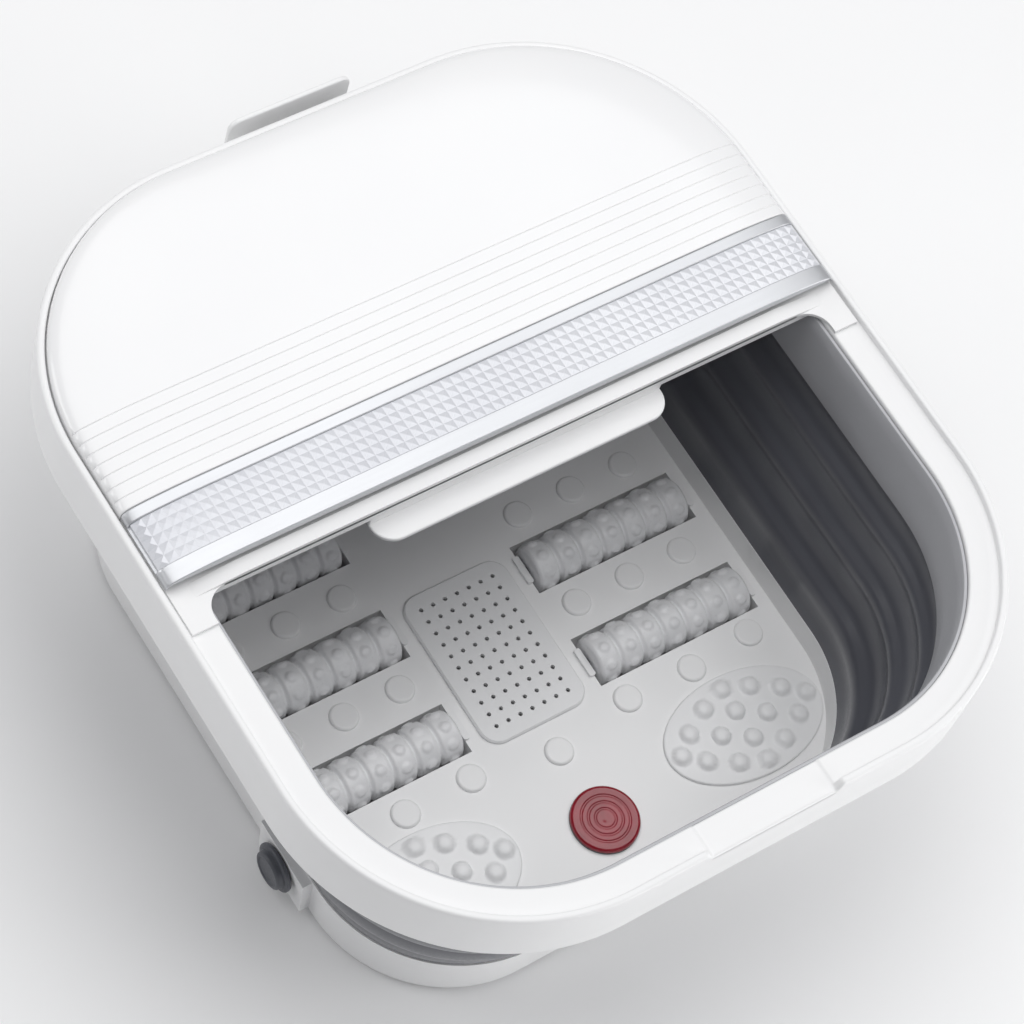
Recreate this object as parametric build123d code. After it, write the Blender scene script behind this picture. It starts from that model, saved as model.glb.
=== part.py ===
from build123d import *
import math
import os

# Collapsible foot bath with a half cover, built as separate pieces in one frame.
#
# Millimetres, +Z up, ground at Z = 0. -Y is the side the user sits at, +Y is the
# covered rear, -X is the drain side. The pieces are drawn about the middle of the
# rim, then all moved forward by MID_Y, which puts the origin under the middle of
# the whole object, carry lip included.

os.makedirs("parts", exist_ok=True)

# ---- overall ---------------------------------------------------------------
RIM_TOP = 184.0            # top of the raised lip above the ground
RIM_HX, RIM_HY, RIM_R = 187.2, 205.0, 114.0
SKIRT_H = 36.0             # height of the skirt hanging from the lip
WALL = 3.0                 # moulded wall
LIP_W = 3.8                # raised lip, seen from above
LEDGE_DROP = 4.0           # ledge below the lip
LEDGE_T = 2.4
OPEN_HX, OPEN_HY, OPEN_R = 168.5, 187.8, 96.0
NOTCH_HALF = 37.0          # front notch in the lip
NOTCH_DIP = 0.9            # the ledge is this much lower inside the notch

COLLAR_BOT = 138.0         # lower edge of the inner collar
COLLAR_T = 2.6

# ---- base ------------------------------------------------------------------
FOOT_H = 2.0
BASE_TOP = 38.0
BASE_BOT_HX, BASE_BOT_HY, BASE_BOT_R = 142.4, 166.3, 72.0
BASE_TOP_HX, BASE_TOP_HY, BASE_TOP_R = 146.0, 168.8, 75.0
FLOOR_Z = 24.0
FLOOR_T = 2.5
PLATE_T = 2.4
FOOT_R = 8.5
FOOT_SPOTS = [(x, y) for x in (-105, 105) for y in (-122, 122)]
SCREW_SPOTS = [(-90, 33.5), (90, 33.5), (-90, -92), (90, -92), (-70, 151), (70, 151)]
BUMP_R, BUMP_H = 7.5, 1.8  # raised rounds on the floor

# ---- massage rollers -------------------------------------------------------
ROLLER_R = 13.5
ROLLER_L = 92.0
ROLLER_Z = 21.0
ROLLER_X = 86.0            # middle of a roller, each side of the centre line
ROLLER_Y = (62.0, 5.0, -52.0)
WELL_R = 14.5
WELL_L = 96.0
AXLE_R = 2.5
AXLE_L = 100.0
AXLE_RUN = 0.08            # radial clearance, roller on its axle
RINGS = 7
KNOBS = 8                  # round one ring
KNOB_R = 2.2

# ---- floor fittings --------------------------------------------------------
BUBBLE_Y = -26.0
BUBBLE_HX, BUBBLE_HY = 30.0, 44.0
LENS_Y = -127.0
LENS_R = 17.5
PAD_X, PAD_Y = 90.0, -117.0
PAD_RX, PAD_RY = 45.0, 28.0
PROBE_Y = 78.0
PROBE_R = 3.0

# ---- under the floor --------------------------------------------------------
HEATER_Y = (88.0, 106.0)
HEATER_Z = 11.5
HEATER_R = 3.6
HEATER_HX = 112.0
GLAND_X, GLAND_Z = 84.0, 14.0
GLAND_R = 5.0

# ---- drain -----------------------------------------------------------------
DRAIN_Y, DRAIN_Z = -73.0, 23.2
DRAIN_R = 7.1
BOSS_HALF = 19.0
BOSS_FACE = 151.2          # from the middle to the boss's face, at its top
BOSS_LEAN = 3.4            # the face leans in this much towards the bottom
FLANGE_R, FLANGE_T = 12.8, 2.6
CAP_R, CAP_T = 10.0, 3.4
GRIP_DEPTH = 0.6

# ---- bellows ---------------------------------------------------------------
BELLOWS_T = 2.0
BELLOWS_TOP = 137.7

# ---- half cover ------------------------------------------------------------
COVER_GAP = 0.9            # gap between cover and lip
COVER_FRONT = 53.4         # front edge of the domed panel
COVER_T = 2.4
BAND_REAR, BAND_FRONT = 52.9, 12.9
GEM_REAR, GEM_FRONT = 47.1, 21.9
GEM_ROWS = 5
GROOVES = 7
GROOVE_FIRST, GROOVE_PITCH = 59.3, 6.35
FRAME_REAR, FRAME_FRONT = 12.3, 5.0
ARM_FRONT = -10.4
TONGUE_HALF = 80.5
TONGUE_TIP = -7.0
TONGUE_Z = 171.0
FRAME_SCREW_X = (-60, 0, 60)
FRAME_SCREW_Y = 30.0
TONGUE_SCREW_X = (-66, 66)

# ---- carry lip -------------------------------------------------------------
TAB_HALF = 33.5
TAB_Y = 211.5
TAB_T = 2.6
TAB_SCREW_X = (-22, 22)
TAB_SCREW_Z = 157.0

MID_Y = (TAB_Y + TAB_T - RIM_HY) / 2


def box(x0, x1, y0, y1, z0, z1):
    """Box between two corners."""
    mid = ((x0 + x1) / 2, (y0 + y1) / 2, (z0 + z1) / 2)
    return Pos(*mid) * Box(x1 - x0, y1 - y0, z1 - z0)


def upright(x, y, z0, z1, r):
    """Vertical cylinder."""
    return Pos(x, y, (z0 + z1) / 2) * Cylinder(r, z1 - z0)


def along_x(x0, x1, y, z, r):
    """Cylinder lying along X."""
    return Pos((x0 + x1) / 2, y, z) * Rot(0, 90, 0) * Cylinder(r, x1 - x0)


def along_y(x, y0, y1, z, r):
    """Cylinder lying along Y."""
    return Pos(x, (y0 + y1) / 2, z) * Rot(90, 0, 0) * Cylinder(r, y1 - y0)


def slab(hx, hy, r, z0, z1):
    """Rounded rectangular block centred on the Z axis."""
    return Pos(0, 0, z0) * extrude(RectangleRounded(2 * hx, 2 * hy, r), amount=z1 - z0)


def stack(levels):
    """Straight-sided loft through (z, half x, half y, radius) levels."""
    faces = [Pos(0, 0, z) * RectangleRounded(2 * hx, 2 * hy, r) for z, hx, hy, r in levels]
    return loft(faces, ruled=True)


def as_group(items):
    """Several separate solids as one piece."""
    return Compound(children=[solid for item in items for solid in item.solids()])


def save(name, shape):
    """Write one piece about the object's own middle."""
    solids = [Pos(0, -MID_Y, 0) * solid for solid in shape.solids()]
    piece = solids[0] if len(solids) == 1 else Compound(children=solids)
    export_step(piece, f"parts/{name}.step")


# ---- rim -------------------------------------------------------------------
def make_rim():
    lip_hx = RIM_HX - LIP_W
    lip_hy = RIM_HY - LIP_W
    lip_r = RIM_R - LIP_W
    outer = slab(RIM_HX, RIM_HY, RIM_R, RIM_TOP - SKIRT_H, RIM_TOP)
    outer = fillet(outer.edges().group_by(Axis.Z)[-1], 1.6)
    ledge_z = RIM_TOP - LEDGE_DROP
    well = slab(lip_hx, lip_hy, lip_r, ledge_z, RIM_TOP + 1)
    under = ledge_z - LEDGE_T
    below = slab(RIM_HX - WALL, RIM_HY - WALL, RIM_R - WALL, RIM_TOP - SKIRT_H - 1, under)
    hole = slab(OPEN_HX, OPEN_HY, OPEN_R, under - 1, RIM_TOP)
    rim = outer - well - below - hole
    # rib round the opening, which the collar ring slides inside
    rib = slab(OPEN_HX + 2.0, OPEN_HY + 2.0, OPEN_R + 2.0, under - 9, under)
    rib = rib - slab(OPEN_HX + 0.2, OPEN_HY + 0.2, OPEN_R + 0.2, ledge_z - 30, ledge_z)
    rim = rim + rib
    # notch across the front lip, its ends sloping outward
    run = RIM_HY - OPEN_HY + 6
    profile = Polyline(
        (-NOTCH_HALF + 3.5, ledge_z),
        (NOTCH_HALF - 3.5, ledge_z),
        (NOTCH_HALF + 0.5, RIM_TOP + 0.5),
        (-NOTCH_HALF - 0.5, RIM_TOP + 0.5),
        close=True,
    )
    cutter = extrude(Plane.XZ * make_face(profile), amount=run)
    rim = rim - Pos(0, -OPEN_HY - 8, 0) * cutter
    # the ledge is a little lower between the ends of the notch
    dip = Polyline(
        (-NOTCH_HALF + 4.0, ledge_z - NOTCH_DIP),
        (NOTCH_HALF - 4.0, ledge_z - NOTCH_DIP),
        (NOTCH_HALF - 2.0, ledge_z + 0.5),
        (-NOTCH_HALF + 2.0, ledge_z + 0.5),
        close=True,
    )
    cutter = extrude(Plane.XZ * make_face(dip), amount=run + 4)
    rim = rim - Pos(0, -OPEN_HY + 2, 0) * cutter
    # screw pads for the carry lip, inside the rear skirt
    for x in TAB_SCREW_X:
        rim = rim + along_y(x, RIM_HY - WALL - 5, RIM_HY - WALL + 0.5, TAB_SCREW_Z, 4)
        rim = rim - along_y(x, RIM_HY - WALL - 4, RIM_HY + 1, TAB_SCREW_Z, 1.35)
    return rim


def make_collar():
    top = RIM_TOP - LEDGE_DROP - LEDGE_T
    outer = slab(OPEN_HX, OPEN_HY, OPEN_R, COLLAR_BOT, top)
    ends = [(COLLAR_BOT - 0.01, COLLAR_T + 0.8), (top + 0.01, COLLAR_T - 0.6)]
    return outer - stack([(z, OPEN_HX - i, OPEN_HY - i, OPEN_R - i) for z, i in ends])


def make_carry_lip():
    plate = box(-TAB_HALF, TAB_HALF, TAB_Y, TAB_Y + TAB_T, 163, 184)
    plate = fillet(plate.edges().filter_by(Axis.Y).group_by(Axis.Z)[-1], 6)
    web = box(-TAB_HALF, TAB_HALF, RIM_HY + 0.02, TAB_Y + TAB_T, 161.5, 164.5)
    flange = box(-TAB_HALF, TAB_HALF, RIM_HY + 0.02, RIM_HY + 2.6, 149, 164.5)
    lip = plate + web + flange
    for x in TAB_SCREW_X:
        lip = lip - along_y(x, RIM_HY - 1, RIM_HY + 4, TAB_SCREW_Z, 1.7)
    return lip


def make_lip_screws():
    screws = []
    for x in TAB_SCREW_X:
        shank = along_y(x, RIM_HY - 6, RIM_HY + 2.6, TAB_SCREW_Z, 1.3)
        head = along_y(x, RIM_HY + 2.6, RIM_HY + 4.2, TAB_SCREW_Z, 3.0)
        slot = box(x - 2.0, x + 2.0, RIM_HY + 3.6, RIM_HY + 5, TAB_SCREW_Z - 0.4, TAB_SCREW_Z + 0.4)
        screws.append(shank + head - slot)
    return as_group(screws)


# ---- bellows ---------------------------------------------------------------
def bellows_levels():
    """Fold line of the wall: (z, inset from the rim's side, inset from its front, radius)."""
    lines = [
        (BASE_TOP, 42.0, 37.0, 74.0),
        (49, 39.5, 34.5, 75.0),
        (61, 40.5, 35.5, 75.0),
        (68, 31.5, 27.5, 80.0),
        (81, 30.0, 26.0, 81.0),
        (89, 31.5, 27.5, 81.0),
        (96, 24.0, 21.0, 86.0),
        (108, 22.5, 19.5, 87.0),
        (115, 24.0, 21.0, 87.0),
        (122, 17.5, 15.5, 94.0),
        (131, 16.5, 14.8, 95.0),
        (BELLOWS_TOP, 18.9, 17.4, 94.5),
    ]
    return [(z, RIM_HX - ix, RIM_HY - iy, r) for z, ix, iy, r in lines]


def make_bellows():
    outer = bellows_levels()
    inner = [(z, hx - BELLOWS_T, hy - BELLOWS_T, r - BELLOWS_T) for z, hx, hy, r in outer]
    inner[0] = (inner[0][0] - 0.5,) + inner[0][1:]
    inner[-1] = (inner[-1][0] + 0.5,) + inner[-1][1:]
    return stack(outer) - stack(inner)


# ---- base shell ------------------------------------------------------------
def base_half(z, inset):
    """Half sizes and radius of the base at height z, drawn in by inset."""
    t = (z - FOOT_H) / (BASE_TOP - FOOT_H)
    hx = BASE_BOT_HX + t * (BASE_TOP_HX - BASE_BOT_HX) - inset
    hy = BASE_BOT_HY + t * (BASE_TOP_HY - BASE_BOT_HY) - inset
    r = BASE_BOT_R + t * (BASE_TOP_R - BASE_BOT_R) - inset
    return (z, hx, hy, r)


def roller_spots():
    return [(side * ROLLER_X, y) for y in ROLLER_Y for side in (-1, 1)]


def make_drain_boss():
    """Flat-faced block on the drain side, its face leaning like the wall."""
    outline = Polyline(
        (-BOSS_FACE + BOSS_LEAN, 4.5),
        (-BOSS_FACE, BASE_TOP - 1.0),
        (-130.0, BASE_TOP - 1.0),
        (-130.0, 4.5),
        close=True,
    )
    block = extrude(Plane.XZ * make_face(outline), amount=2 * BOSS_HALF)
    return Pos(0, DRAIN_Y + BOSS_HALF, 0) * block


def make_base_shell():
    outer = stack([base_half(FOOT_H, 0), base_half(BASE_TOP, 0)])
    outer = fillet(outer.edges().group_by(Axis.Z)[0], 1.5)
    outer = outer + make_drain_boss()
    tub = stack([base_half(FLOOR_Z, WALL), base_half(BASE_TOP + 1, WALL)])
    below = stack([base_half(FOOT_H - 1, WALL), base_half(FLOOR_Z - FLOOR_T, WALL)])
    shell = outer - tub - below
    # thicker wall behind the drain boss
    back = box(-144, -137, DRAIN_Y - 11, DRAIN_Y + 11, 12, BASE_TOP - 1)
    shell = shell + back
    half_well = WELL_L / 2
    half_axle = AXLE_L / 2
    for x, y in roller_spots():
        trough = along_x(x - half_well - 1.5, x + half_well + 1.5, y, ROLLER_Z, WELL_R + 1.5)
        trough = trough & box(-200, 200, -200, 200, 0, FLOOR_Z - FLOOR_T + 0.5)
        ends = box(x - half_axle - 1.5, x - half_well + 0.1, y - 8, y + 8, 15, FLOOR_Z)
        ends = ends + box(x + half_well - 0.1, x + half_axle + 1.5, y - 8, y + 8, 15, FLOOR_Z)
        shell = shell + trough + ends
    for x, y in SCREW_SPOTS:
        shell = shell + upright(x, y, FOOT_H + PLATE_T + 0.1, FLOOR_Z - FLOOR_T + 0.1, 4.0)
        shell = shell - upright(x, y, FOOT_H, 16, 1.3)
    for x, y in roller_spots():
        shell = shell - along_x(x - half_well, x + half_well, y, ROLLER_Z, WELL_R)
        shell = shell - along_x(x - half_axle, x + half_axle, y, ROLLER_Z, AXLE_R + 0.02)
        shell = shell - box(x - half_axle, x + half_axle, y - AXLE_R, y + AXLE_R, ROLLER_Z, FLOOR_Z + 1)
    # air chamber under the perforated cover
    chamber = slab(BUBBLE_HX - 0.5, BUBBLE_HY - 0.5, 9, 13.5, FLOOR_Z - FLOOR_T + 0.1)
    cavity = slab(BUBBLE_HX - 2.5, BUBBLE_HY - 2.5, 7, 15.5, FLOOR_Z + 1)
    shell = shell + Pos(0, BUBBLE_Y, 0) * chamber - Pos(0, BUBBLE_Y, 0) * cavity
    shell = shell - along_y(0, BUBBLE_Y + BUBBLE_HY - 4, BUBBLE_Y + BUBBLE_HY + 0.2, 17.2, 1.5)
    # window for the lens and a hole for the temperature probe
    shell = shell - upright(0, LENS_Y, 10, FLOOR_Z + 1, LENS_R - 2.5)
    shell = shell - upright(0, PROBE_Y, 10, FLOOR_Z + 1, PROBE_R + 0.1)
    # raised round bumps between and in front of the rollers
    half_bumps = [(46, -78), (84, -79), (121, -76)] + [(x, y) for y in (-22, 33) for x in (52, 84, 116)]
    bumps = [(s * x, y) for x, y in half_bumps for s in (-1, 1)] + [(0, -86)]
    for x, y in bumps:
        bump = upright(x, y, FLOOR_Z - 0.5, FLOOR_Z + BUMP_H, BUMP_R)
        shell = shell + fillet(bump.edges().group_by(Axis.Z)[-1], BUMP_H - 0.2)
    # drain passage through the boss
    shell = shell - along_x(-155, -136, DRAIN_Y, DRAIN_Z, DRAIN_R)
    # cord gland hole in the rear wall
    return shell - along_y(GLAND_X, 150, 175, GLAND_Z, GLAND_R + 0.1)


def make_bottom_plate():
    plate = stack([base_half(FOOT_H, WALL + 0.3), base_half(FOOT_H + PLATE_T, WALL + 0.3)])
    for x, y in SCREW_SPOTS:
        plate = plate - upright(x, y, 0, 10, 1.6) - upright(x, y, 0, FOOT_H + 1.2, 3.2)
    for x, y in FOOT_SPOTS:
        plate = plate - upright(x, y, 0, FOOT_H + 1.0, FOOT_R + 0.1)
    # vent slots under the control board
    for i in range(-3, 4):
        plate = plate - box(6 * i - 1, 6 * i + 1, 112, 140, 0, 10)
    return plate


def make_feet():
    feet = []
    for x, y in FOOT_SPOTS:
        pad = upright(x, y, 0, FOOT_H + 1.0, FOOT_R)
        feet.append(chamfer(pad.edges().group_by(Axis.Z)[0], 0.6))
    return as_group(feet)


def make_base_screws():
    screws = []
    for x, y in SCREW_SPOTS:
        head = upright(x, y, FOOT_H - 0.2, FOOT_H + 1.2, 3.0)
        slot = box(x - 2.2, x + 2.2, y - 0.4, y + 0.4, 0, FOOT_H + 0.5)
        slot = slot + box(x - 0.4, x + 0.4, y - 2.2, y + 2.2, 0, FOOT_H + 0.5)
        screws.append(upright(x, y, FOOT_H + 1.0, 14, 1.28) + head - slot)
    return as_group(screws)


# ---- rollers ---------------------------------------------------------------
def make_roller(x, y):
    """Barrel with rounded rings and rows of knobs, bored for its axle."""
    half = ROLLER_L / 2
    pitch = ROLLER_L / RINGS
    valley = ROLLER_R - 3.0
    crown = ROLLER_R - 1.2
    bore = AXLE_R + AXLE_RUN
    outline = [Line((-half, bore), (-half, valley))]
    for i in range(RINGS):
        x0 = -half + pitch * i
        outline.append(Line((x0, valley), (x0 + 1.0, valley)))
        outline.append(Line((x0 + 1.0, valley), (x0 + 2.6, crown)))
        outline.append(Line((x0 + 2.6, crown), (x0 + pitch - 2.6, crown)))
        outline.append(Line((x0 + pitch - 2.6, crown), (x0 + pitch - 1.0, valley)))
        outline.append(Line((x0 + pitch - 1.0, valley), (x0 + pitch, valley)))
    outline.append(Line((half, valley), (half, bore)))
    outline.append(Line((half, bore), (-half, bore)))
    body = revolve(make_face(Wire(outline)), Axis.X)
    for i in range(RINGS):
        cx = -half + pitch * (i + 0.5)
        for k in range(KNOBS):
            turn = 360 / KNOBS * k + (11 if i % 2 else 33)
            knob = Pos(cx, 0, ROLLER_R - 2.0) * Cylinder(KNOB_R, 4.0)
            knob = chamfer(knob.edges().group_by(Axis.Z)[-1], 0.8)
            body = body + Rot(turn, 0, 0) * knob
    return Pos(x, y, ROLLER_Z) * body


def make_axles():
    axles = []
    for x, y in roller_spots():
        pin = along_x(x - AXLE_L / 2 + 0.2, x + AXLE_L / 2 - 0.2, y, ROLLER_Z, AXLE_R)
        axles.append(chamfer(pin.edges(), 0.4))
    return as_group(axles)


def make_axle_clips():
    clips = []
    key_hy = AXLE_R - 0.1
    key_z = ROLLER_Z + AXLE_R + 0.05
    for middle, y in roller_spots():
        for end in (-1, 1):
            x = middle + end * (WELL_L + AXLE_L) / 4
            cap = box(x - 1.7, x + 1.7, y - 8, y + 8, FLOOR_Z, FLOOR_Z + 1.8)
            cap = fillet(cap.edges().filter_by(Axis.Z), 1.2)
            key = box(x - 0.9, x + 0.9, y - key_hy, y + key_hy, key_z, FLOOR_Z + 0.1)
            clips.append(cap + key)
    return as_group(clips)


# ---- floor fittings --------------------------------------------------------
def make_bubble_cover():
    plate = slab(BUBBLE_HX, BUBBLE_HY, 10, FLOOR_Z, FLOOR_Z + 2.2)
    plate = chamfer(plate.edges().group_by(Axis.Z)[-1], 0.8)
    skirt = slab(BUBBLE_HX - 2.7, BUBBLE_HY - 2.7, 7, FLOOR_Z - 3, FLOOR_Z)
    skirt = skirt - slab(BUBBLE_HX - 4.2, BUBBLE_HY - 4.2, 6, FLOOR_Z - 4, FLOOR_Z)
    plate = plate + skirt
    holes = []
    for i in range(-3, 4):
        for j in range(-5, 6):
            holes.append(upright(7.0 * i, 7.0 * j, FLOOR_Z - 1, FLOOR_Z + 4, 1.1))
    plate = plate - holes
    return Pos(0, BUBBLE_Y, 0) * plate


def make_lens():
    skirt = upright(0, LENS_Y, FLOOR_Z - 4, FLOOR_Z + 1.0, LENS_R - 2.7)
    top = upright(0, LENS_Y, FLOOR_Z + 1.0, FLOOR_Z + 3.4, LENS_R)
    top = fillet(top.edges().group_by(Axis.Z)[-1], 2.0)
    lens = skirt + top
    lens = lens - upright(0, LENS_Y, FLOOR_Z - 5, FLOOR_Z + 0.5, LENS_R - 4.7)
    for r in (12.5, 9.0, 5.5):
        ring = upright(0, LENS_Y, FLOOR_Z + 3.0, FLOOR_Z + 4, r)
        ring = ring - upright(0, LENS_Y, FLOOR_Z + 2.9, FLOOR_Z + 5, r - 0.8)
        lens = lens - ring
    return lens


def make_lens_gasket():
    ring = upright(0, LENS_Y, FLOOR_Z, FLOOR_Z + 1.0, LENS_R)
    return ring - upright(0, LENS_Y, FLOOR_Z - 1, FLOOR_Z + 2, LENS_R - 2.6)


def make_lamp_board():
    board = upright(0, LENS_Y, 16.6, 18.2, 12.6)
    for k in range(5):
        angle = math.radians(72 * k)
        board = board + upright(7 * math.cos(angle), LENS_Y + 7 * math.sin(angle), 18.2, 20.4, 1.5)
    return board


def make_heel_pad(side):
    """Oval insert with rounded nubs under one heel."""
    pad = extrude(Ellipse(PAD_RX, PAD_RY), amount=1.6)
    pad = chamfer(pad.edges().group_by(Axis.Z)[-1], 0.6)
    nubs = [(0, -21), (0, -8), (0, 8), (0, 21)]
    for s in (-1, 1):
        nubs += [(14 * s, -16), (14 * s, 0), (14 * s, 16), (28 * s, -8), (28 * s, 8), (38 * s, 0)]
    for x, y in nubs:
        nub = upright(x, y, 1.0, 4.6, 4.4)
        pad = pad + fillet(nub.edges().group_by(Axis.Z)[-1], 2.2)
    return Pos(side * PAD_X, PAD_Y, FLOOR_Z) * pad


def make_probe():
    stem = upright(0, PROBE_Y, 15, FLOOR_Z + 3.6, PROBE_R)
    flange = upright(0, PROBE_Y, FLOOR_Z, FLOOR_Z + 1.0, 5.0)
    return fillet(stem.edges().group_by(Axis.Z)[-1], 2.0) + flange


# ---- parts under the floor ---------------------------------------------------
def make_heater():
    """Sheathed heating rod bent to a U."""
    near, far = HEATER_Y
    bend_r = (far - near) / 2
    bend_x = HEATER_HX - 16
    path = CenterArc((bend_x, near + bend_r), bend_r, -90, 180)
    start = Plane(origin=(bend_x, near, HEATER_Z), z_dir=(1, 0, 0))
    rod = sweep(start * Circle(HEATER_R), path=Pos(0, 0, HEATER_Z) * path)
    for y in HEATER_Y:
        rod = rod + along_x(-HEATER_HX, bend_x, y, HEATER_Z, HEATER_R)
        rod = rod + along_x(-HEATER_HX - 8, -HEATER_HX, y, HEATER_Z, HEATER_R + 1.0)
    return rod


def make_heater_clamps():
    clamps = []
    for x in (-60, 0, 60):
        block = box(x - 4, x + 4, HEATER_Y[0] - 6, HEATER_Y[1] + 6, FOOT_H + PLATE_T, 16.5)
        for y in HEATER_Y:
            block = block - along_x(x - 5, x + 5, y, HEATER_Z, HEATER_R)
        clamps.append(block)
    return as_group(clamps)


def make_air_pump():
    body = box(-96, -46, 116, 142, FOOT_H + PLATE_T, 19.5)
    body = fillet(body.edges().filter_by(Axis.Z), 4)
    motor = along_x(-46, -30, 129, 11.5, 6.2)
    return body + motor


def make_air_tube():
    """Tube from the pump round to the air chamber, all at one height."""
    route = [(-45.9, 138.5), (-22, 138.5), (-22, 60), (0, 46), (0, 18.1)]
    path = FilletPolyline(*[(x, y, 17.2) for x, y in route], radius=6)
    start = Plane(origin=path @ 0, z_dir=path % 0)
    return sweep(start * Circle(1.8), path=path)


def make_control_board():
    board = box(36, 110, 117, 145, 8.0, 9.6)
    relay = box(44, 60, 121, 133, 9.6, 18.5)
    choke = upright(74, 130, 9.6, 17.5, 6.0)
    chip = box(86, 98, 124, 136, 9.6, 11.2)
    for x, y in [(40, 141), (106, 121)]:
        board = board + upright(x, y, FOOT_H + PLATE_T, 8.0, 2.5)
    return board + relay + choke + chip


def make_cord_gland():
    """Cord bushing in the rear wall; its through hole takes the supply cord."""
    neck = along_y(GLAND_X, 155, 167.3, GLAND_Z, GLAND_R)
    head = along_y(GLAND_X, 167.2, 171.5, GLAND_Z, GLAND_R + 2.5)
    stub = along_y(GLAND_X, 171.5, 178, GLAND_Z, GLAND_R - 0.8)
    gland = neck + head + stub
    gland = fillet(gland.edges().filter_by(GeomType.CIRCLE).sort_by(Axis.Y)[-1:], 1.0)
    return gland - along_y(GLAND_X, 150, 182, GLAND_Z, 3.1)


# ---- drain plug --------------------------------------------------------------
def make_drain_plug():
    seat = -BOSS_FACE - 0.2
    front = seat - FLANGE_T
    end = front - CAP_T
    stem = along_x(seat - 0.1, -139.5, DRAIN_Y, DRAIN_Z, DRAIN_R - 0.3)
    flange = along_x(front, seat, DRAIN_Y, DRAIN_Z, FLANGE_R)
    flange = fillet(flange.edges(), 0.8)
    cap = along_x(end, front, DRAIN_Y, DRAIN_Z, CAP_R)
    cap = fillet(cap.edges().group_by(Axis.X)[0], 1.2)
    grip = along_x(end - 1, end + GRIP_DEPTH, DRAIN_Y, DRAIN_Z, CAP_R - 2.5)
    return stem + flange + cap - grip


# ---- half cover --------------------------------------------------------------
def dome_levels(drop):
    """Levels of the cover's crown, lowered by drop."""
    # height over the lip, and inset from the lip's inner face
    rolls = [(-3.2, 0.0), (0.0, 0.0), (2.6, 0.7), (4.2, 3.2)]
    rolls += [(5.2, 8.0), (6.1, 16.0), (6.8, 26.0), (7.2, 40.0)]
    hx = RIM_HX - LIP_W - COVER_GAP
    hy = RIM_HY - LIP_W - COVER_GAP + 0.5
    r = RIM_R - LIP_W - COVER_GAP
    return [(RIM_TOP + h - drop, hx - i, hy - i, r - i) for h, i in rolls]


def dome(drop):
    return stack(dome_levels(drop))


def make_cover_panel():
    half = box(-200, 200, COVER_FRONT, 210, 150, 200)
    crown = dome(0) & half
    inner = [(z, hx - COVER_T, hy - COVER_T, r - COVER_T) for z, hx, hy, r in dome_levels(COVER_T)]
    inner[0] = (inner[0][0] - 5,) + inner[0][1:]
    hollow = stack(inner) & box(-200, 200, COVER_FRONT + COVER_T, 210, 150, 200)
    panel = crown - hollow
    skin = dome(0) - dome(0.5)
    for k in range(GROOVES):
        y = GROOVE_FIRST + GROOVE_PITCH * k
        panel = panel - (skin & box(-200, 200, y - 0.3, y + 0.3, 150, 200))
    return panel


def make_band_tray():
    """Silver channel that carries the faceted strip."""
    block = dome(0) & box(-200, 200, BAND_FRONT, BAND_REAR, RIM_TOP - 1.0, 200)
    pocket = dome(0) - dome(3.2)
    pocket = pocket & box(-200, 200, GEM_FRONT - 0.1, GEM_REAR + 0.1, RIM_TOP + 0.5, 200)
    under = slab(RIM_HX - LIP_W - COVER_GAP - 9, 100, 20, RIM_TOP - 2, RIM_TOP + 2.2)
    under = under & box(-200, 200, BAND_FRONT + 2, BAND_REAR - 2, 150, 200)
    tray = block - pocket - under
    for x in FRAME_SCREW_X:
        tray = tray - upright(x, FRAME_SCREW_Y, RIM_TOP, RIM_TOP + 3.6, 1.3)
    return tray


def make_gem_strip():
    """Clear strip with long V ribs, one per row of facets."""
    strip = (dome(0) - dome(3.0)) & box(-200, 200, GEM_FRONT, GEM_REAR, RIM_TOP + 0.7, 200)
    strip = strip.solids().sort_by(SortBy.VOLUME)[-1]
    pitch = (GEM_REAR - GEM_FRONT) / GEM_ROWS
    top = RIM_TOP + 7.2
    for k in range(1, GEM_ROWS):
        y = GEM_FRONT + k * pitch
        vee = Polyline((y - 1.1, top + 0.1), (y + 1.1, top + 0.1), (y, top - 1.1), close=True)
        cut = extrude(Plane.YZ * make_face(vee), amount=144, both=True)
        strip = strip - cut
    return strip


def make_cover_frame():
    """U shaped front frame; its arms rest on the rim's ledge."""
    z0 = RIM_TOP - LEDGE_DROP + 0.1
    outline = box(-182.3, 182.3, ARM_FRONT, BAND_REAR, z0, z0 + 1.9)
    well = box(-169.0, 169.0, -40, FRAME_FRONT, 150, 200)
    well = fillet(well.edges().filter_by(Axis.Z).group_by(Axis.Y)[-1], 12)
    frame = outline - well
    frame = frame - box(-150, 150, BAND_REAR - 8, 200, 150, 200)
    side = [(166, z0 - 4), (166, z0), (172, z0), (172, z0 + 1.9), (148, RIM_TOP + 0.4)]
    outline = side + [(-x, z) for x, z in reversed(side)]
    bar = extrude(Plane.XZ * make_face(Polyline(*outline, close=True)), amount=FRAME_REAR - FRAME_FRONT)
    bar = Pos(0, FRAME_REAR, 0) * bar - well
    frame = frame + bar
    for x in FRAME_SCREW_X:
        frame = frame - upright(x, FRAME_SCREW_Y, 150, 200, 1.7)
    for x in TONGUE_SCREW_X:
        frame = frame - upright(x, (FRAME_FRONT + FRAME_REAR) / 2, 150, RIM_TOP - 1.0, 1.25)
    return frame


def make_cover_screws():
    z0 = RIM_TOP - LEDGE_DROP + 0.1
    screws = []
    y = FRAME_SCREW_Y
    for x in FRAME_SCREW_X:
        head = upright(x, y, z0 - 1.6, z0, 3.0)
        slot = box(x - 2, x + 2, y - 0.4, y + 0.4, z0 - 2, z0 - 1.0)
        screws.append(upright(x, y, z0, RIM_TOP + 3.4, 1.28) + head - slot)
    return as_group(screws)


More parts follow.
